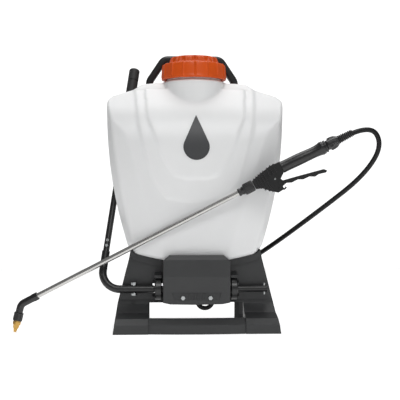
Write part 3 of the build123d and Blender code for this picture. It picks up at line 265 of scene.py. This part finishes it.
# glass-filled nylon: near black, fibre haze on the surface
blackNylon = newMaterial("glassFilledBlackNylon", {
    "colour": "1B1B1C", "aged": "141415", "rough": 0.32, "ior": 1.53, "grain": 0.8, "cloud": 25,
    "bump": 0.3, "bumpDepth": 0.06, "edge": 0.7,
})[0]
# moulded nitrile rubber: matt and soft-edged
sealRubber = newMaterial("mouldedNitrileRubber", {
    "colour": "1D1D1E", "aged": "242425", "rough": 0.62, "ior": 1.52, "grain": 1.4, "cloud": 20,
    "bump": 0.35, "bumpDepth": 0.08, "edge": 0.8,
})[0]
# acetal: white, waxy, turned or moulded to size
whiteAcetal = newMaterial("naturalAcetal", {
    "colour": "E4E3DE", "aged": "DAD9D2", "rough": 0.34, "ior": 1.48, "grain": 1.5, "cloud": 30,
    "bump": 0.15, "bumpDepth": 0.04,
})[0]
# zinc-plated steel: bright with a bluish passivation
zincSteel = newMaterial("zincPlatedSteel", {
    "colour": "B9BCBE", "aged": "A6A9A8", "rough": 0.3, "metal": 1, "grain": 0.6, "cloud": 8,
    "roughSpread": 0.09, "bump": 0.2, "bumpDepth": 0.03,
})[0]
# stainless tube: cold drawn, so its fine lines run along it
drawnStainless = newMaterial("drawnStainlessTube", {
    "colour": "C6C5C3", "aged": "B2B1AE", "rough": 0.27, "metal": 1, "grain": 0.5, "cloud": 60,
    "drawn": lanceAlong, "roughSpread": 0.04, "bump": 0.3, "bumpDepth": 0.03,
})[0]
# powder coat on the lever: black, slightly pebbled
powderCoat = newMaterial("blackPowderCoat", {
    "colour": "161617", "aged": "101011", "rough": 0.36, "ior": 1.5, "grain": 1.2, "cloud": 40,
    "bump": 0.4, "bumpDepth": 0.06,
})[0]
# PVC hose: smooth extruded skin with a low shine
hosePvc = newMaterial("extrudedBlackPvc", {
    "colour": "0A0A0B", "aged": "101011", "rough": 0.45, "ior": 1.53, "grain": 2.2, "cloud": 50,
    "bump": 0.2, "bumpDepth": 0.05, "sockets": {"Specular IOR Level": 0.25},
})[0]
# turned brass: warm, rings of the tool round it, slightly tarnished
turnedBrass = newMaterial("turnedBrass", {
    "colour": "CFA860", "aged": "A98548", "rough": 0.27, "metal": 1, "grain": 0.5, "cloud": 6,
    "roughSpread": 0.08, "bump": 0.25, "bumpDepth": 0.03,
})[0]
# pad print: thin flat ink film, dark grey
printInk = newMaterial("padPrintInk", {
    "colour": "3D3E40", "aged": "38393B", "rough": 0.45, "ior": 1.5, "grain": 0.8, "cloud": 40,
    "bump": 0.15, "bumpDepth": 0.03,
})[0]
# nylon pad cover: plain weave of coarse yarn, drawn at 1.6 mm so that it shows
padFabric, padTree, padShader, padBump, padSource = newMaterial("wovenNylonPadCover", {
    "colour": "2B2C2E", "aged": "232426", "rough": 0.85, "ior": 1.5, "grain": 1.0, "cloud": 35,
    "sockets": {"Sheen Weight": 0.25, "Sheen Roughness": 0.5}, "edge": 0.3,
})
addWeave(padTree, padShader, padBump, padSource, 1.6, 0.5)
# polypropylene webbing: ribbed weave, ribs 2.2 mm apart across the strap
webbing, webTree, webShader, webBump, webSource = newMaterial("wovenPolypropyleneWebbing", {
    "colour": "202123", "aged": "2A2B2D", "rough": 0.72, "ior": 1.49, "grain": 0.8, "cloud": 25,
    "sockets": {"Sheen Weight": 0.15, "Sheen Roughness": 0.5}, "edge": 0.2,
})
addWeave(webTree, webShader, webBump, webSource, 2.2, 0.6)

slotLooks = {
    "tank_poly": tankPolyethylene, "cap_orange": capPolypropylene, "base_grey": basePolypropylene,
    "black_plastic": blackNylon, "seal_rubber": sealRubber, "white_plastic": whiteAcetal,
    "steel": zincSteel, "wand_steel": drawnStainless, "lever_paint": powderCoat,
    "hose_rubber": hosePvc, "nozzle_brass": turnedBrass, "mark_print": printInk,
    "pad_foam": padFabric, "webbing": webbing,
}


def wear(obj, material):
    obj.data.materials.clear()
    obj.data.materials.append(material)
    return obj


for part in frame["record"]["subparts"]:
    wear(nodes[part["node"]], slotLooks[part["material_slot"]])
print("materials on", len(slotLooks), "slots")

# hose: finished, and bent between the frame and the lance
wear(hose, hosePvc)
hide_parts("hose")
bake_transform(hose)


# evaluated mesh of an object with its modifiers, put back as plain data
def bake(obj):
    graph = bpy.context.evaluated_depsgraph_get()
    mesh = bpy.data.meshes.new_from_object(obj.evaluated_get(graph), depsgraph=graph)
    obj.modifiers.clear()
    obj.data = mesh
    return obj


def smoothShade(obj):
    for face in obj.data.polygons:
        face.use_smooth = True
    return obj


# tank: the plain solid softened into a blow-moulded skin
tankSetup = {
    "voxel": 0.0022, "smoothRounds": 7, "slopeRounds": 5,
    # the slopes begin in front of this plane, are full a little further on, and end below the neck
    "slopeStart": -0.02, "slopeFade": 0.02, "slopeTop": 0.482,
}
tankSkin = addObject("tankSkin", nodes["tank"].data.copy())
tankSkin.modifiers.new("voxels", "REMESH").voxel_size = tankSetup["voxel"]
softener = tankSkin.modifiers.new("soften", "SMOOTH")
softener.iterations = tankSetup["smoothRounds"]
softener.factor = 0.5
bake(tankSkin)
# the shield's two steps are drawn out into broad soft slopes, as blown plastic leaves them
front = tankSkin.vertex_groups.new(name="front")
for vertex in tankSkin.data.vertices:
    ahead = tankSetup["slopeStart"] - vertex.co.y
    if ahead > 0 and vertex.co.z < tankSetup["slopeTop"]:
        front.add([vertex.index], min(1, ahead / tankSetup["slopeFade"]), "REPLACE")
slopes = tankSkin.modifiers.new("slopes", "SMOOTH")
slopes.iterations = tankSetup["slopeRounds"]
slopes.factor = 0.5
slopes.vertex_group = "front"
bake(tankSkin)
smoothShade(wear(tankSkin, tankPolyethylene))
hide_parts("tank")
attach(tankSkin, "frame")
print("tank skin,", len(tankSkin.data.polygons), "faces")

# thread of the neck, seen once the cap is off
threadSetup = {
    "radius": 0.0537, "bead": 0.0011, "low": 0.4925, "pitch": 0.006, "turns": 1.75,
    "steps": 120, "runOut": 12, "endShare": 0.15,
}


def threadPoint(i):
    turn = threadSetup["turns"] * i / threadSetup["steps"]
    return Vector((
        threadSetup["radius"] * math.cos(2 * math.pi * turn),
        threadSetup["radius"] * math.sin(2 * math.pi * turn),
        threadSetup["low"] + threadSetup["pitch"] * turn,
    ))


# the bead fades out at both ends of the thread
def threadBead(i):
    toEnd = min(i, threadSetup["steps"] - i)
    return threadSetup["bead"] * min(1, threadSetup["endShare"] + toEnd / threadSetup["runOut"])


threadPath = [threadPoint(i) for i in range(threadSetup["steps"] + 1)]
neckThread = addObject("neckThread", tubeMesh("neckThread", threadPath, threadBead, 10))
wear(neckThread, tankPolyethylene)
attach(neckThread, "frame")

# cap: stepped skirt and dome, thin ribs down both, finger scoops round the shoulder
capSetup = {
    "ribs": 16, "ribWidth": 0.05, "ribHeight": 1.8,
    "scoops": 12, "scoopDepth": 3.5, "segments": 480,
    # radius, height, share of the rib, share of the scoop, all in millimetres
    "profile": [
        # dome
        (5.2, 535.6, 0, 0), (30, 535.8, 0, 0), (41, 535.2, 0.3, 0), (44.5, 534.0, 1, 0),
        (46.5, 532.0, 1, 0.5), (48.0, 529.0, 1, 1), (49.0, 526.0, 1, 1), (49.8, 523.5, 1, 0.7),
        (51.0, 522.0, 1, 0.2),
        # step and skirt
        (57.0, 521.2, 1, 0), (59.5, 520.6, 1, 0), (60.8, 519.2, 1, 0), (61.4, 516.5, 1, 0),
        (62.0, 511.0, 1, 0), (62.5, 504.0, 1, 0), (63.0, 498.0, 1, 0), (63.2, 495.0, 1, 0),
        (64.0, 494.0, 0.2, 0), (64.3, 493.0, 0, 0), (64.3, 490.8, 0, 0), (63.6, 490.1, 0, 0),
        # inside, back up to the vent's hole
        (56.2, 490.1, 0, 0), (55.3, 491.0, 0, 0), (55.3, 510.9, 0, 0), (36.0, 511.2, 0, 0),
        (35.8, 531.6, 0, 0), (8.4, 531.7, 0, 0), (5.2, 531.8, 0, 0),
    ],
}


# a ring-shaped solid turned about an axis, in mm: each profile row is radius, height and its
# shares of the raised and of the hollow relief
def turned(name, profile, segments, relief, place):
    mesh = bpy.data.meshes.new(name)
    bm = bmesh.new()
    rings = []
    for radius, height, first, second in profile:
        ring = []
        for k in range(segments):
            angle = 2 * math.pi * k / segments
            bead, hollow = relief(angle)
            r = radius + first * bead - second * hollow
            ring.append(bm.verts.new(place(r * math.cos(angle), r * math.sin(angle), height)))
        rings.append(ring)
    for a, b in zip(rings, rings[1:] + rings[:1]):
        for k in range(segments):
            bm.faces.new((a[k], a[(k + 1) % segments], b[(k + 1) % segments], b[k])).smooth = True
    bmesh.ops.recalc_face_normals(bm, faces=bm.faces)
    bm.to_mesh(mesh)
    bm.free()
    mesh.set_sharp_from_angle(angle=math.radians(50))
    return addObject(name, mesh)


def capRelief(angle):
    near = (angle * capSetup["ribs"] / (2 * math.pi) + 0.5) % 1 - 0.5
    bead = math.exp(-(near / capSetup["ribWidth"]) ** 2) * capSetup["ribHeight"]
    hollow = max(0, math.cos(angle * capSetup["scoops"])) ** 0.6 * capSetup["scoopDepth"]
    return bead, hollow


capShell = turned("capShell", capSetup["profile"], capSetup["segments"], capRelief,
                  lambda x, y, z: Vector((x, y, z)) / 1000)
wear(capShell, capPolypropylene)
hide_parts("tank_cap")
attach(capShell, "cap")
print("cap turned")

# wand nut and hose nut: fluted and winged collars, turned about the lance
nutSetup = {"flutes": 20, "fluteDepth": 0.9, "wings": 6, "wingHeight": 3.2}


def fluteRelief(angle):
    return 0, (0.5 + 0.5 * math.cos(angle * nutSetup["flutes"])) * nutSetup["fluteDepth"]


def wingRelief(angle):
    return max(0, math.cos(angle * nutSetup["wings"])) ** 3 * nutSetup["wingHeight"], 0


def aboutLance(rise):
    return lambda x, y, z: onLance(z, rise + x, y)


wandNut = turned("wandNut", [
    (5.2, 430, 0, 0), (7.0, 430, 0, 0), (7.4, 430.6, 0, 0), (7.4, 434, 0, 0), (6.6, 434.8, 0, 0),
    (6.6, 437, 0, 0), (7.6, 438, 0, 0), (7.9, 441.5, 0, 0), (9.6, 442, 0, 0), (10.6, 443, 0, 0.2),
    (11.0, 444.5, 0, 1), (11.0, 459, 0, 1), (10.6, 460.8, 0, 0.2), (9.8, 461.8, 0, 0),
    (5.2, 461.8, 0, 0),
], 160, fluteRelief, aboutLance(0))
hoseNut = turned("hoseNut", [
    (6.3, 617.5, 0, 0), (8.6, 617.5, 0, 0), (9.4, 618.4, 0, 0), (9.4, 622, 0.1, 0),
    (9.3, 624, 1, 0), (9.2, 630, 1.05, 0), (8.9, 636, 0.8, 0), (8.4, 639.5, 0.25, 0),
    (8.2, 641.5, 0, 0), (7.6, 643, 0, 0), (6.3, 643, 0, 0),
], 144, wingRelief, aboutLance(3))
for nut, node, body in ((wandNut, "wand_nut", "wand_nut"), (hoseNut, "hose_nut", "lance")):
    wear(nut, blackNylon)
    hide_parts(node)
    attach(nut, body)

# ribs of the valve body: thin plates across it, the last ones stop short of the trigger's fork
finSetup = {
    "half": 10.6, "thick": 2.0, "proud": 1.6, "rounding": 0.0005,
    # place along, lowest and highest point of the body there, in mm
    "plates": [
        (467, -9, 9.3), (472.5, -11.5, 10.9), (478, -17, 12.4), (483.5, -22.5, 13.7),
        (489, -27, 14.8), (498, 1.5, 16.6), (505, 1.5, 18), (512, 1.5, 17.6),
    ],
}
mesh = bpy.data.meshes.new("valveFins")
bm = bmesh.new()
for along, low, high in finSetup["plates"]:
    corners = []
    top = high + finSetup["proud"]
    bottom = low - finSetup["proud"] if low < 0 else low
    for a in (along - finSetup["thick"] / 2, along + finSetup["thick"] / 2):
        for up, out in ((bottom, -1), (top, -1), (top, 1), (bottom, 1)):
            corners.append(bm.verts.new(onLance(a, up, out * finSetup["half"])))
    for face in ((0, 1, 2, 3), (7, 6, 5, 4), (0, 4, 5, 1),
                 (1, 5, 6, 2), (2, 6, 7, 3), (3, 7, 4, 0)):
        bm.faces.new([corners[i] for i in face])
bmesh.ops.recalc_face_normals(bm, faces=bm.faces)
bmesh.ops.bevel(bm, geom=list(bm.edges), offset=finSetup["rounding"], segments=2,
                profile=0.5, affect="EDGES")
bm.to_mesh(mesh)
bm.free()
valveFins = wear(addObject("valveFins", mesh), blackNylon)
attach(valveFins, "lance")
print("lance collars and fins done")

# strain relief: a coil of soft rubber round the hose, tapering
reliefSetup = {
    "start": 643.9, "length": 28, "coils": 8, "root": 6.2, "crest": 8.0, "taper": 1.2,
    "steps": 128, "above": 3,
}
reliefPath = [
    onLance(reliefSetup["start"] + reliefSetup["length"] * i / reliefSetup["steps"],
            reliefSetup["above"])
    for i in range(reliefSetup["steps"] + 1)
]


def reliefRadius(i):
    t = i / reliefSetup["steps"]
    crest = 0.5 + 0.5 * math.cos(2 * math.pi * reliefSetup["coils"] * t)
    tall = reliefSetup["root"] + (reliefSetup["crest"] - reliefSetup["root"]) * min(1, crest * 1.6)
    return (tall - reliefSetup["taper"] * t) / 1000


strainCoil = addObject("strainCoil", tubeMesh("strainCoil", reliefPath, reliefRadius, 32))
wear(strainCoil, sealRubber)
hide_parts("strain_relief")
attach(strainCoil, "lance")

# back pad and shoulder pads: foam in a sewn nylon cover, swollen with cloth simulation
padSetup = {"voxel": 0.005, "pressure": 4, "frames": 20, "cap": 0.005}


def swell(node, name):
    pad = addObject(name, nodes[node].data.copy())
    pad.modifiers.new("voxels", "REMESH").voxel_size = padSetup["voxel"]
    bake(pad)
    before = [v.co.copy() for v in pad.data.vertices]
    cloth = pad.modifiers.new("swell", "CLOTH")
    cloth.settings.use_pressure = True
    cloth.settings.uniform_pressure_force = padSetup["pressure"]
    cloth.settings.effector_weights.gravity = 0
    cloth.point_cache.frame_end = padSetup["frames"]
    for step in range(1, padSetup["frames"] + 1):
        scene.frame_set(step)
    bake(pad)
    scene.frame_set(1)
    for vertex, start in zip(pad.data.vertices, before):
        moved = vertex.co - start
        if moved.length > padSetup["cap"]:
            vertex.co = start + moved * (padSetup["cap"] / moved.length)
    pad.modifiers.new("finer", "SUBSURF").levels = 1
    bake(pad)
    smoothShade(wear(pad, padFabric))
    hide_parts(node)
    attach(pad, "frame")
    print("pad", name, len(pad.data.vertices), "points")
    return pad


backPad = swell("back_pad", "backPad")
leftPad = swell("left_shoulder_pad", "leftShoulderPad")
rightPad = swell("right_shoulder_pad", "rightShoulderPad")


# sewn channels: points near a seam line are drawn in towards the tank
def pressSeam(pad, distance, inward, depth, width):
    for vertex in pad.data.vertices:
        off = distance(vertex.co)
        if off < 3 * width:
            vertex.co += inward(vertex.co) * depth * math.exp(-(off / width) ** 2)


# only the face against the wearer, which lies behind this plane, is drawn in
seamSetup = {"upright": (-0.028, 0.028), "level": (0.245, 0.295, 0.345),
             "plane": 0.1, "width": 0.0035, "uprightDepth": 0.004, "levelDepth": 0.003}


def towardsTank(point):
    return Vector((0, -1, 0))


for x in seamSetup["upright"]:
    pressSeam(backPad, lambda p, x=x: abs(p.x - x) if p.y > seamSetup["plane"] else 1,
              towardsTank, seamSetup["uprightDepth"], seamSetup["width"])
for z in seamSetup["level"]:
    pressSeam(backPad, lambda p, z=z: abs(p.z - z) if p.y > seamSetup["plane"] else 1,
              towardsTank, seamSetup["levelDepth"], seamSetup["width"])


# lower straps: flat webbing, drawn from buckle to base
strapSetup = {
    "x": 0.060, "width": 0.032, "thick": 0.0022, "flat": (0.032, 0.152),
    "top": (0.1232, 0.232), "foot": (0.0912, 0.084), "sag": 0.003, "steps": 24,
    # one half-width and half-thickness each: a flat band with rounded edges
    "outline": ((-1, 0), (-0.97, 0.8), (-0.9, 1), (0, 1), (0.9, 1), (0.97, 0.8),
                (1, 0), (0.97, -0.8), (0.9, -1), (0, -1), (-0.9, -1), (-0.97, -0.8)),
}
for side, sideName in ((-1, "left"), (1, "right")):
    mesh = bpy.data.meshes.new(sideName + "Webbing")
    bm = bmesh.new()
    rows = []
    around = len(strapSetup["outline"])
    (topY, topZ), (footY, footZ) = strapSetup["top"], strapSetup["foot"]
    for i in range(strapSetup["steps"] + 1):
        t = i / strapSetup["steps"]
        y = topY + (footY - topY) * t + strapSetup["sag"] * math.sin(math.pi * t)
        z = topZ + (footZ - topZ) * t
        rows.append([
            bm.verts.new((side * strapSetup["x"] + u * strapSetup["width"] / 2,
                          y + v * strapSetup["thick"] / 2, z))
            for u, v in strapSetup["outline"]
        ])
    for a, b in zip(rows, rows[1:]):
        for k in range(around):
            bm.faces.new((a[k], a[(k + 1) % around], b[(k + 1) % around], b[k])).smooth = True
    bm.faces.new(rows[0])
    bm.faces.new(list(reversed(rows[-1])))
    bmesh.ops.recalc_face_normals(bm, faces=bm.faces)
    bm.to_mesh(mesh)
    bm.free()
    strap = wear(addObject(sideName + "Webbing", mesh), webbing)
    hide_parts(sideName + "_lower_strap")
    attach(strap, "frame")
print("harness done")

# floor, world and lights: white paper sweep and big soft boxes
floorSetup = {"half": 1.7, "drop": 0.0005, "glow": 0.6}
bm = bmesh.new()
bmesh.ops.create_grid(bm, x_segments=2, y_segments=2, size=floorSetup["half"])
floorMesh = bpy.data.meshes.new("studioFloor")
bm.to_mesh(floorMesh)
bm.free()
studioPaper = newMaterial("studioPaper", {
    "colour": "FBFBFB", "aged": "F8F8F8", "rough": 0.9, "grain": 5, "cloud": 400,
    "bump": 0.05, "bumpDepth": 0.05, "edge": 0.1,
})[0]
# the sweep glows as if lit from behind, so it stays as pale as the wall
paperShader = studioPaper.node_tree.nodes["Principled BSDF"]
paperShader.inputs["Emission Color"].default_value = (1, 1, 1, 1)
paperShader.inputs["Emission Strength"].default_value = floorSetup["glow"]
floor = wear(addObject("studioFloor", floorMesh), studioPaper)
floor.location.z = -floorSetup["drop"]

world = bpy.data.worlds.new("studio")
world.use_nodes = True
scene.world = world
backdrop = world.node_tree.nodes["Background"]
backdrop.inputs["Color"].default_value = (1, 1, 1, 1)
rays = addNode(world.node_tree, "ShaderNodeLightPath")
# the wall shines at its full strength only where it is seen, so it doesn't wash out the object
glow = addNode(world.node_tree, "ShaderNodeMapRange", {
    "Value": (rays, "Is Camera Ray"), "To Min": 0.24, "To Max": 1.2})
world.node_tree.links.new(glow.outputs["Result"], backdrop.inputs["Strength"])

lightSetup = {
    "key": {"place": (0.1, -1.6, 1.9), "size": 0.9, "power": 15},
    "fill": {"place": (0.9, -2.0, 0.5), "size": 0.8, "power": 2},
    "top": {"place": (0, 0.2, 2.0), "size": 1.2, "power": 16},
}
lightAim = (0, 0, 0.25)
for name, light in lightSetup.items():
    data = bpy.data.lights.new(name, "AREA")
    data.size = light["size"]
    data.energy = light["power"]
    lamp = addObject(name, data)
    lamp.location = light["place"]
    aim = Vector(lightAim) - lamp.location
    lamp.rotation_euler = aim.to_track_quat("-Z", "Y").to_euler()
scene.view_settings.view_transform = "Standard"
print("studio lit")
